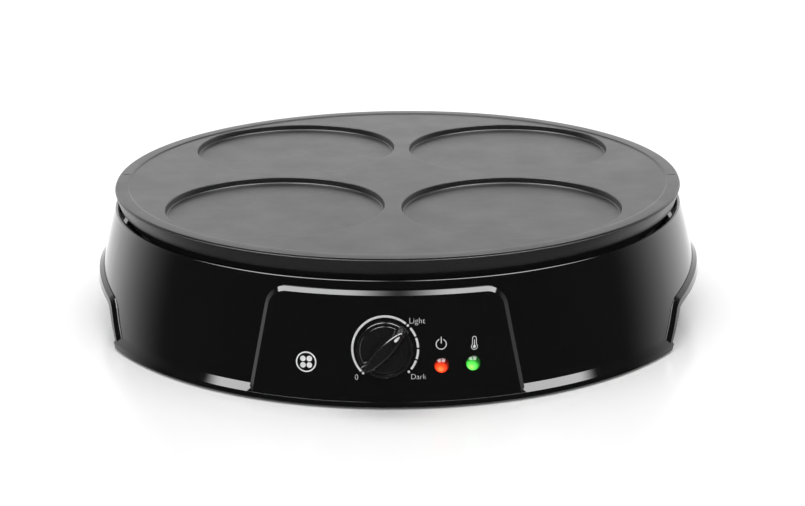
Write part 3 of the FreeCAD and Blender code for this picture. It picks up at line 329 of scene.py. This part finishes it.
# ---------------------------------------------------------------- dial print
SCALE_RADIUS, SCALE_WIDTH = 18.8 * MM, 1.25 * MM
OFF_ANGLE, LOW_ANGLE, HIGH_ANGLE = -137.7, 43.7, 134.0     # clockwise from the top
DOT_GAP, STEP_GAP, STEPS = 4.6, 1.5, 4                     # gaps in degrees either side
DOT_RADIUS = 0.75 * MM
LETTER_THINNING = 0.08 * MM                                # off each side of a stroke
SCALE_WORDS = {                                            # text, lower left corner, size
    "scale_zero": ("0", -17.6 * MM, -17.9 * MM, 4.6 * MM),
    "scale_light": ("Light", 13.5 * MM, 14.7 * MM, 4.8 * MM),
    "scale_dark": ("Dark", 14.5 * MM, -17.4 * MM, 4.4 * MM),
}
POWER_PLACE, HEAT_PLACE, MARK_PLACE = (9.3, 37.2 * MM), (14.9, 36.6 * MM), (-13.2, 26.0 * MM)
POWER_RADIUS, POWER_STROKE = 2.9 * MM, 0.45 * MM
HEAT_TALL, HEAT_STROKE = 7.9 * MM, 0.36 * MM
MARK_RADIUS = 6.0 * MM
OUTSIDE_RADIUS = 0.25                                      # of a circle clear of the housing


def dial_print():
    """The heat scale round the knob: an arc, four steps and three dots."""
    printed("scale_arc", [arc_band(SCALE_RADIUS, SCALE_WIDTH, OFF_ANGLE + DOT_GAP, LOW_ANGLE - DOT_GAP)])
    span = (HIGH_ANGLE - LOW_ANGLE - 2.0 * DOT_GAP) / STEPS
    for k in range(STEPS):
        start = LOW_ANGLE + DOT_GAP + k * span
        end = start + span
        printed(f"scale_step_{k + 1}",
                [arc_band(SCALE_RADIUS, SCALE_WIDTH, start + STEP_GAP, end - STEP_GAP)])
    for k, angle in enumerate((OFF_ANGLE, LOW_ANGLE, HIGH_ANGLE), start=1):
        a = math.radians(angle)
        centre = (SCALE_RADIUS * math.sin(a), SCALE_RADIUS * math.cos(a))
        printed(f"scale_dot_{k}", [ring_points(DOT_RADIUS, 24, centre)])


def words(name, text, x, y, size):
    """Plain scale lettering, its lower left corner at (x, y) in the dial's frame."""
    curve = bpy.data.curves.new(name, "FONT")
    curve.body = text
    curve.size = size
    curve.offset = -LETTER_THINNING
    curve.resolution_u = 4
    helper = bpy.data.objects.new(name + "_curve", curve)
    bpy.context.scene.collection.objects.link(helper)
    bpy.context.view_layer.update()
    data = bpy.data.meshes.new_from_object(helper)
    bpy.data.objects.remove(helper)
    mesh = bmesh.new()
    mesh.from_mesh(data)
    bpy.data.meshes.remove(data)
    for vert in mesh.verts:
        vert.co = on_console(x + vert.co.x, y + vert.co.y)
    return piece(name, mesh, "base", MATERIALS["white_print"])


def console_point(angle, height):
    """A point of the console's face in the dial's frame, from degrees round Z and a height."""
    a = math.radians(angle)
    outside = Vector((OUTSIDE_RADIUS * math.sin(a), -OUTSIDE_RADIUS * math.cos(a), height))
    hit, _, _, _ = HOUSING_TREE.ray_cast(outside, Vector((-math.sin(a), math.cos(a), 0.0)))
    local = DIAL.inverted() @ hit
    return local.x, local.y


def upright_bar(x, low, high, width):
    """The outline of an upright stroke."""
    half = width / 2
    return [(x - half, low), (x + half, low), (x + half, high), (x - half, high)]


def power_icon(x, y, radius, width):
    """A ring open at the top with a stroke through the gap."""
    ring = [(x + px, y + py) for px, py in arc_band(radius, width, 24.0, 336.0, 8.0)]
    printed("power_icon_ring", [ring])
    printed("power_icon_stroke", [upright_bar(x, y + radius * 0.15, y + radius * 1.45, width)])


def heat_icon(x, y, tall, width):
    """A thermometer: an outlined tube on a bulb, with the column inside."""
    bulb, tube = tall * 0.24, tall * 0.16
    top, low = y + tall / 2 - tube, y - tall / 2 + bulb

    def shape(inset):
        r, half = bulb - inset, tube - inset
        spread = math.asin(half / r)
        around_bulb = [spread + k * (2 * math.pi - 2 * spread) / 24 for k in range(25)]
        points = [(x + r * math.sin(t), low + r * math.cos(t)) for t in around_bulb]
        cap = [math.pi - k * math.pi / 12 for k in range(13)]
        return points + [(x + half * math.cos(t), top + half * math.sin(t)) for t in cap]

    printed("heat_icon_outline", [shape(0.0), shape(width)])
    printed("heat_icon_bulb", [ring_points(bulb * 0.45, 20, (x, low))])
    printed("heat_icon_column", [upright_bar(x, low, y + tall * 0.25, width)])


def pancake_mark(x, y, radius):
    """A plain mark of the plate itself: a ring round four discs."""
    width = radius * 0.13
    printed("plate_mark_ring", [ring_points(radius, 64, (x, y)), ring_points(radius - width, 64, (x, y))])
    for k in range(4):
        turn = math.radians(45.0 + 90.0 * k)
        centre = (x + radius * 0.44 * math.cos(turn), y + radius * 0.44 * math.sin(turn))
        printed(f"plate_mark_disc_{k + 1}", [ring_points(radius * 0.27, 32, centre)])


dial_print()
for word_name, (text, x, y, size) in SCALE_WORDS.items():
    words(word_name, text, x, y, size)
power_icon(*console_point(*POWER_PLACE), POWER_RADIUS, POWER_STROKE)
heat_icon(*console_point(*HEAT_PLACE), HEAT_TALL, HEAT_STROKE)
pancake_mark(*console_point(*MARK_PLACE), MARK_RADIUS)

# ---------------------------------------------------------------- lamps
GLOW_REACH = 5.2 * MM
GLOW_DEPTH, GLOW_DROP = 1.0 * MM, 0.6 * MM                 # behind the dome's tip, below its middle
LENS_LOOKS = {                                             # core, body and rim colours, glow
    "power_lamp": ("lens_red", "red_lens", (1.0, 0.24, 0.05), (1.0, 0.05, 0.012), (0.1, 0.003, 0.002), 1.7),
    "ready_lamp": ("lens_green", "green_lens", (0.55, 1.0, 0.12), (0.1, 0.85, 0.09),
                   (0.004, 0.08, 0.006), 1.2),
}
for lamp, (slot, name, core, body, rim, glow) in LENS_LOOKS.items():
    low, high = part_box(lamp + "_lens")
    centre = Vector(((low.x + high.x) / 2, low.y + GLOW_DEPTH, (low.z + high.z) / 2 - GLOW_DROP))
    MATERIALS[slot] = lit_lens(name, core, body, rim, glow, centre, GLOW_REACH)


# ---------------------------------------------------------------- mesh building
WELD = 2e-6


def lathe(mesh, profile, count, centre=(0.0, 0.0)):
    """Turns a profile of (radius, height) about a vertical axis. A radius of 0 closes it."""
    rings = []
    for radius, height in profile:
        if radius == 0.0:
            rings.append([mesh.verts.new((centre[0], centre[1], height))])
        else:
            rings.append([mesh.verts.new((px, py, height)) for px, py in ring_points(radius, count, centre)])
    for inner, outer in zip(rings, rings[1:]):
        for k in range(count):
            after = (k + 1) % count
            corners = [inner[k % len(inner)], outer[k % len(outer)], outer[after % len(outer)],
                       inner[after % len(inner)]]
            mesh.faces.new(list(dict.fromkeys(corners)))


def band_of(mesh, lower, upper):
    """Quads between two rings of vertices of the same length."""
    count = len(lower)
    for k in range(count):
        after = (k + 1) % count
        mesh.faces.new((lower[k], lower[after], upper[after], upper[k]))


def recess(mesh, outline, top, depth):
    """The walls and floor of a pocket below an outline in a flat top."""
    upper = [mesh.verts.new((x, y, top)) for x, y in outline]
    lower = [mesh.verts.new((x, y, top - depth)) for x, y in outline]
    band_of(mesh, upper, lower)
    mesh.faces.new(lower)


def close_up(mesh, name, body, slot, sharp, node):
    """Welds the mesh and lets the new piece stand in for a CAD node."""
    bmesh.ops.remove_doubles(mesh, verts=mesh.verts, dist=WELD)
    bmesh.ops.recalc_face_normals(mesh, faces=mesh.faces)
    made = piece(name, mesh, body, MATERIALS[slot])
    made.data.set_sharp_from_angle(angle=math.radians(sharp))
    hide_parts(node)


def bend(radius_at, height_at, radius, start, end, steps=6):
    """Profile points round an arc, with its centre at (radius_at, height_at), in degrees."""
    angles = [math.radians(start + (end - start) * k / steps) for k in range(steps + 1)]
    return [(radius_at + radius * math.cos(a), height_at + radius * math.sin(a)) for a in angles]


# ---------------------------------------------------------------- plate casting
RIM_WIDTH, RIM_STEP, SIDE_DEPTH, SIDE_SLOPE = 9.0 * MM, 0.6 * MM, 10.2 * MM, 2.4 * MM
PLATE_THICKNESS, PAD_DEPTH, PAD_RADIUS = 4.8 * MM, 8.6 * MM, 71.0 * MM
RING_OUTER, RING_INNER = 179.0 * MM, 175.6 * MM
WELL_PITCH, WELL_RADIUS, WELL_DEPTH = 147.6 * MM, 68.5 * MM, 3.8 * MM
NOTCH_HALF, NOTCH_DEPTH = 0.5 * MM, 0.5 * MM
LEAN = 12.0                                                # degrees, of the side below the edge
FINE, WELL_FINE = 360, 180                                 # points round the plate and a well


def plate_casting():
    """The cast plate with fine edge rounds, a raised rim, four wells, notches and a locating ring."""
    low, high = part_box("griddle_plate")
    edge, top = high.x, high.z
    face = top - RIM_STEP
    rim = edge - RIM_WIDTH
    side_low, side_in = top - SIDE_DEPTH, edge - SIDE_SLOPE
    under, pad_under = face - PLATE_THICKNESS, face - PAD_DEPTH
    well_floor = face - WELL_DEPTH
    flat_out, well_flat = rim - 1.0 * MM, WELL_RADIUS + 1.1 * MM
    half_pitch = WELL_PITCH / 2
    wells = [(x * half_pitch, y * half_pitch) for x in (-1, 1) for y in (-1, 1)]
    mesh = bmesh.new()

    # the flat face between the rim and the wells, then each well
    fill(mesh, [ring_points(flat_out, FINE)] + [ring_points(well_flat, WELL_FINE, c) for c in wells],
         lambda x, y: (x, y, face))
    lip = bend(WELL_RADIUS + 0.7 * MM, face - 0.7 * MM, 0.7 * MM, 90.0, 172.0)
    foot = bend(WELL_RADIUS - 1.5 * MM, well_floor + 0.9 * MM, 0.9 * MM, 0.0, -90.0)
    for c in wells:
        lathe(mesh, [(well_flat, face), *lip, *foot, (WELL_RADIUS - 4.0 * MM, well_floor),
                     (WELL_RADIUS * 0.5, well_floor), (0.0, well_floor)], WELL_FINE, c)

    # the rim's flat top, with a notch at each side
    crest, corner, bead = edge - 0.5 * MM, 0.4 * MM, 0.35 * MM
    rim_in, rim_out = rim + 1.4 * MM, crest - corner
    near, far = rim + 1.8 * MM, edge - 2.5 * MM
    notch = [(near, -NOTCH_HALF), (far, -NOTCH_HALF), (far, NOTCH_HALF), (near, NOTCH_HALF)]
    notches = [notch, [(-x, -y) for x, y in notch]]
    fill(mesh, [ring_points(rim_out, FINE), ring_points(rim_in, FINE)] + notches,
         lambda x, y: (x, y, top))
    for outline in notches:
        recess(mesh, outline, top, NOTCH_DEPTH)

    # the step up to the rim, the rounded edge, the side and the locating ring
    chamfer, turn = 0.4 * MM, 0.8 * MM
    lathe(mesh, [(flat_out, face), (rim - 0.8 * MM, face), (rim - 0.3 * MM, face + 0.03 * MM),
                 (rim + 0.1 * MM, face + 0.2 * MM), (rim + 0.5 * MM, face + 0.5 * MM),
                 (rim + 0.9 * MM, top - 0.02 * MM), (rim_in, top)], FINE)
    lathe(mesh, [(rim_out, top), *bend(rim_out, top - corner, corner, 90.0, 0.0),
                 (crest, top - 1.1 * MM), *bend(edge - bead, top - 1.2 * MM - bead, bead, 90.0, -LEAN),
                 *bend(side_in - turn, side_low + turn, turn, -LEAN, -90.0),
                 (RING_OUTER + chamfer, side_low), (RING_OUTER, side_low - chamfer),
                 (RING_OUTER, low.z + chamfer), (RING_OUTER - chamfer, low.z),
                 (RING_INNER + chamfer, low.z), (RING_INNER, low.z + chamfer), (RING_INNER, under)], FINE)

    # the underside, with a pad under each well
    fill(mesh, [ring_points(RING_INNER, FINE)] + [ring_points(PAD_RADIUS, WELL_FINE, c) for c in wells],
         lambda x, y: (x, y, under))
    for c in wells:
        lathe(mesh, [(PAD_RADIUS, under), (PAD_RADIUS, pad_under + 0.5 * MM),
                     (PAD_RADIUS - 0.5 * MM, pad_under), (0.0, pad_under)], WELL_FINE, c)
    close_up(mesh, "plate_casting", "plate", "plate_coating", 40.0, "griddle_plate")


# ---------------------------------------------------------------- knob
POINTER_TURN = -44.0                                       # about the dial's axis, as at rest
KNOB_FRAME = DIAL @ Matrix.Rotation(math.radians(POINTER_TURN), 4, "Z")
KNOB_RADIUS, KNOB_TOP = 16.0 * MM, 14.0 * MM
BAR_HALF_WIDE, BAR_HALF_END = 5.4 * MM, 3.0 * MM
SLOT_TIP, SLOT_ROOT, SLOT_HALF, SLOT_DEPTH = 13.9 * MM, 8.0 * MM, 1.45 * MM, 0.9 * MM
# radius and height of the skirt's groove, in millimetres
SKIRT_PROFILE = [(14.6, 4.8), (14.3, 4.65), (14.1, 4.3), (13.6, 4.1), (13.2, 4.35), (12.8, 4.4), (0.0, 4.4)]
BAR_LEVELS = [(0.0, 4.3), (0.0, 4.9), (0.25, 6.2), (1.55, 12.4), (1.75, 13.1), (2.05, 13.6),
              (2.5, 13.9), (3.1, 14.0)]                    # inset and height, in millimetres


def lens_outline(half_long, half_wide, half_end, inset):
    """The grip bar's outline: two long arcs between blunt round ends, taken in by an inset."""
    swell = half_wide - half_end
    radius = (half_long ** 2 + swell ** 2) / (2 * swell)
    reach = math.asin(half_long / radius)
    steps = 32
    side = []
    for k in range(steps + 1):
        a = -reach + 2 * reach * k / steps
        side.append(((radius - inset) * math.cos(a) - (radius - half_wide), (radius - inset) * math.sin(a)))
    tip_x, tip_y = side[-1]
    cap = [(tip_x * math.cos(t), tip_y + tip_x * 0.45 * math.sin(t))
           for t in (math.pi * k / 16 for k in range(1, 16))]
    half = side + cap
    return half + [(-x, -y) for x, y in half]


def stack(mesh, rings):
    """Joins rings of vertices, each to the next."""
    for lower, upper in zip(rings, rings[1:]):
        band_of(mesh, lower, upper)


def knob_mesh():
    """The knob: a skirt with a groove round its face and a tapered bar with a pointer slot."""
    mesh = bmesh.new()
    lathe(mesh, [(3.1 * MM, 1.2 * MM), (KNOB_RADIUS - 0.4 * MM, 1.2 * MM), (KNOB_RADIUS, 1.6 * MM),
                 *bend(KNOB_RADIUS - 0.6 * MM, 4.2 * MM, 0.6 * MM, 0.0, 90.0),
                 *[(radius * MM, height * MM) for radius, height in SKIRT_PROFILE]], 96)
    rings = []
    for inset, height in BAR_LEVELS:
        outline = lens_outline(KNOB_RADIUS - inset * 0.6 * MM, BAR_HALF_WIDE, BAR_HALF_END, inset * MM)
        rings.append([mesh.verts.new((x, y, height * MM)) for x, y in outline])
    stack(mesh, rings)
    face = [(v.co.x, v.co.y) for v in rings[-1]]
    face_end = max(y for _, y in face)
    slot = [(SLOT_HALF, SLOT_ROOT), (SLOT_HALF, SLOT_TIP), (-SLOT_HALF, SLOT_TIP)]
    slot += [(-SLOT_HALF * math.cos(t), SLOT_ROOT - SLOT_HALF * math.sin(t))
             for t in (math.pi * k / 8 for k in range(8))]
    slot = [(x, min(y, face_end - 0.5 * MM)) for x, y in slot]
    fill(mesh, [face, slot], lambda x, y: (x, y, KNOB_TOP))
    recess(mesh, slot, KNOB_TOP, SLOT_DEPTH)
    bmesh.ops.transform(mesh, matrix=KNOB_FRAME, verts=mesh.verts)
    close_up(mesh, "knob_moulding", "knob", "knob_black", 50.0, "control_knob")


def pointer_mesh():
    """The white pointer: a small round-ended bar on the floor of the knob's slot."""
    half, root, tip = 0.85 * MM, 8.6 * MM, 13.4 * MM
    floor_z, top_z, bevel = 13.1 * MM, 13.95 * MM, 0.2 * MM

    def outline(inset):
        r = half - inset
        turns = [math.pi * k / 12 for k in range(13)]
        upper = [(r * math.cos(t), tip - half + r * math.sin(t)) for t in turns]
        return upper + [(-r * math.cos(t), root + half - r * math.sin(t)) for t in turns]

    mesh = bmesh.new()
    rings = [[mesh.verts.new((x, y, z)) for x, y in outline(inset)]
             for inset, z in ((0.0, floor_z), (0.0, top_z - bevel), (bevel, top_z))]
    stack(mesh, rings)
    mesh.faces.new(rings[-1])
    mesh.faces.new(rings[0])
    bmesh.ops.transform(mesh, matrix=KNOB_FRAME, verts=mesh.verts)
    close_up(mesh, "pointer_inlay", "knob", "white_print", 40.0, "knob_pointer")


plate_casting()
knob_mesh()
pointer_mesh()

# ---------------------------------------------------------------- finishes of the CAD nodes
SLOT_OF = {row["node"]: row["material_slot"] for row in frame["record"]["subparts"]}
for name, node in NODES.items():
    slot = SLOT_OF[name]
    node.data.materials.clear()
    node.data.materials.append(MATERIALS[slot])


# ---------------------------------------------------------------- studio
FLOOR_RADIUS = 12.0
SOFTBOX_ASIDE, SOFTBOX_BACK, SOFTBOX_HEIGHT, SOFTBOX_AIM = 0.37, 0.02, 1.1, 0.1
SOFTBOX_SIZE, SOFTBOX_POWER = (0.7, 0.6), 2.5


def floor():
    """A pale table top. Glossy rays don't see it."""
    mesh = bmesh.new()
    bmesh.ops.create_circle(mesh, cap_ends=True, radius=FLOOR_RADIUS, segments=96)
    data = bpy.data.meshes.new("floor")
    mesh.to_mesh(data)
    mesh.free()
    made = bpy.data.objects.new("floor", data)
    bpy.context.scene.collection.objects.link(made)
    m = Nodes("floor", IOR=1.45)
    m.colour(m.noise(2.0), [(0.3, 0.9), (0.7, 0.92)])
    m.roughness(m.noise(6.0), 0.2, 0.24)
    data.materials.append(m.material)
    made.visible_glossy = False


def softbox(name, location, target, size, power):
    """A soft rectangular light, hidden from gloss."""
    light = bpy.data.lights.new(name, "AREA")
    light.shape = "RECTANGLE"
    light.size, light.size_y = size
    light.energy = power
    made = bpy.data.objects.new(name, light)
    bpy.context.scene.collection.objects.link(made)
    made.location = location
    made.visible_glossy = False
    aim = Vector(target) - Vector(location)
    made.rotation_euler = aim.to_track_quat("-Z", "Y").to_euler()


class Sky:
    """Builds the studio's brightness by direction out of maths nodes."""

    def __init__(self, tree):
        self.tree = tree
        where = tree.nodes.new("ShaderNodeTexCoord")
        parts = tree.nodes.new("ShaderNodeSeparateXYZ")
        tree.links.new(where.outputs["Generated"], parts.inputs["Vector"])
        self.x, self.y, self.z = (parts.outputs[axis] for axis in "XYZ")

    def maths(self, kind, first, second=0.0):
        """One operation on sockets or numbers."""
        node = self.tree.nodes.new("ShaderNodeMath")
        node.operation = kind
        for socket, value in zip(node.inputs, (first, second)):
            if isinstance(value, float):
                socket.default_value = value
            else:
                self.tree.links.new(value, socket)
        return node.outputs[0]

    def rise(self, value, start, end, low=0.0, high=1.0):
        """A smooth step from low to high while the value goes from start to end."""
        node = self.tree.nodes.new("ShaderNodeMapRange")
        node.interpolation_type = "SMOOTHSTEP"
        for name, number in (("From Min", start), ("From Max", end), ("To Min", low), ("To Max", high)):
            node.inputs[name].default_value = number
        self.tree.links.new(value, node.inputs["Value"])
        return node.outputs["Result"]

    def product(self, *values):
        """The product of several sockets or numbers."""
        total = values[0]
        for value in values[1:]:
            total = self.maths("MULTIPLY", total, value)
        return total


BACKDROP, OVERHEAD, DIM, LOW_GLOW = 1.38, 11.0, 0.05, 0.25  # what glossy rays see
AMBIENT_LOW, AMBIENT_HIGH = 0.25, 1.12                     # what diffuse rays see
# where each part of the studio begins and is full, as parts of a direction of length one
BEHIND_SPAN, LOW_SPAN, BELOW_SPAN, AMBIENT_SPAN = (0.0, 0.78), (0.62, 0.36), (-0.4, -0.7), (0.0, 0.7)
# and for the overhead panels as shares of the height
PANEL_INNER, PANEL_OUTER, PANEL_FRONT, PANEL_BACK = (0.0, 0.2), (1.08, 0.95), (-0.75, -0.6), (0.42, 0.3)
PANEL_GAP = 0.06                                           # brightness left between the panels


def surroundings():
    """A white studio. Glossy rays see a backdrop low behind and beside the object, overhead
    panels and a dim front, diffuse rays see a sky that brightens upwards, and camera rays white."""
    world = bpy.data.worlds.new("studio")
    bpy.context.scene.world = world
    world.use_nodes = True
    tree = world.node_tree
    sky = Sky(tree)
    behind = sky.rise(sky.y, *BEHIND_SPAN)
    low = sky.rise(sky.z, *LOW_SPAN)
    backdrop = sky.product(behind, low, BACKDROP)
    height = sky.maths("MAXIMUM", sky.z, 0.05)
    aside = sky.maths("DIVIDE", sky.maths("ABSOLUTE", sky.x), height)
    ahead = sky.maths("DIVIDE", sky.y, height)
    panels = sky.product(sky.rise(aside, *PANEL_INNER, PANEL_GAP), sky.rise(aside, *PANEL_OUTER),
                         sky.rise(ahead, *PANEL_FRONT), sky.rise(ahead, *PANEL_BACK), OVERHEAD)
    below = sky.rise(sky.z, *BELOW_SPAN, DIM, LOW_GLOW)
    studio = sky.maths("ADD", sky.maths("ADD", backdrop, panels), below)
    ambient = sky.rise(sky.z, *AMBIENT_SPAN, AMBIENT_LOW, AMBIENT_HIGH)
    path = tree.nodes.new("ShaderNodeLightPath")
    choose = tree.nodes.new("ShaderNodeMix")
    tree.links.new(path.outputs["Is Glossy Ray"], choose.inputs["Factor"])
    tree.links.new(ambient, choose.inputs["A"])
    tree.links.new(studio, choose.inputs["B"])
    white = tree.nodes.new("ShaderNodeMix")
    tree.links.new(path.outputs["Is Camera Ray"], white.inputs["Factor"])
    tree.links.new(choose.outputs["Result"], white.inputs["A"])
    white.inputs["B"].default_value = 1.0
    background = tree.nodes["Background"]
    tree.links.new(white.outputs["Result"], background.inputs["Strength"])
    background.inputs["Color"].default_value = (1.0, 1.0, 1.0, 1.0)


CAMERA_DISTANCE, CAMERA_AZIMUTH, CAMERA_ELEVATION = 1.2604, 2.365, 15.025
LOOK_DOWN, LOOK_ASIDE = 2.368, 0.13                        # degrees away from the plate's centre
ROLL = -0.59                                               # degrees about the line of sight
LENS = 85.16


def camera():
    """The camera looks at the plate from a little above, aimed lower than the plate's centre."""
    _, plate_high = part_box("griddle_plate")
    centre = Vector((0.0, 0.0, plate_high.z))

    def toward(azimuth, elevation):
        a, e = math.radians(azimuth), math.radians(elevation)
        return Vector((math.sin(a) * math.cos(e), -math.cos(a) * math.cos(e), math.sin(e)))

    data = bpy.data.cameras.new("camera")
    data.lens = LENS
    made = bpy.data.objects.new("camera", data)
    bpy.context.scene.collection.objects.link(made)
    made.location = centre + toward(CAMERA_AZIMUTH, CAMERA_ELEVATION) * CAMERA_DISTANCE
    aim = -toward(CAMERA_AZIMUTH - LOOK_ASIDE, CAMERA_ELEVATION + LOOK_DOWN)
    roll = Matrix.Rotation(math.radians(ROLL), 3, "Z")
    made.rotation_euler = (aim.to_track_quat("-Z", "Y").to_matrix() @ roll).to_euler()
    bpy.context.scene.camera = made


floor()
surroundings()
for name, side in (("overhead_left", -1), ("overhead_right", 1)):
    softbox(name, (SOFTBOX_ASIDE * side, SOFTBOX_BACK, SOFTBOX_HEIGHT),
            (SOFTBOX_AIM * side, 0.0, 0.0), SOFTBOX_SIZE, SOFTBOX_POWER)
camera()
bpy.context.scene.view_settings.view_transform = "Standard"
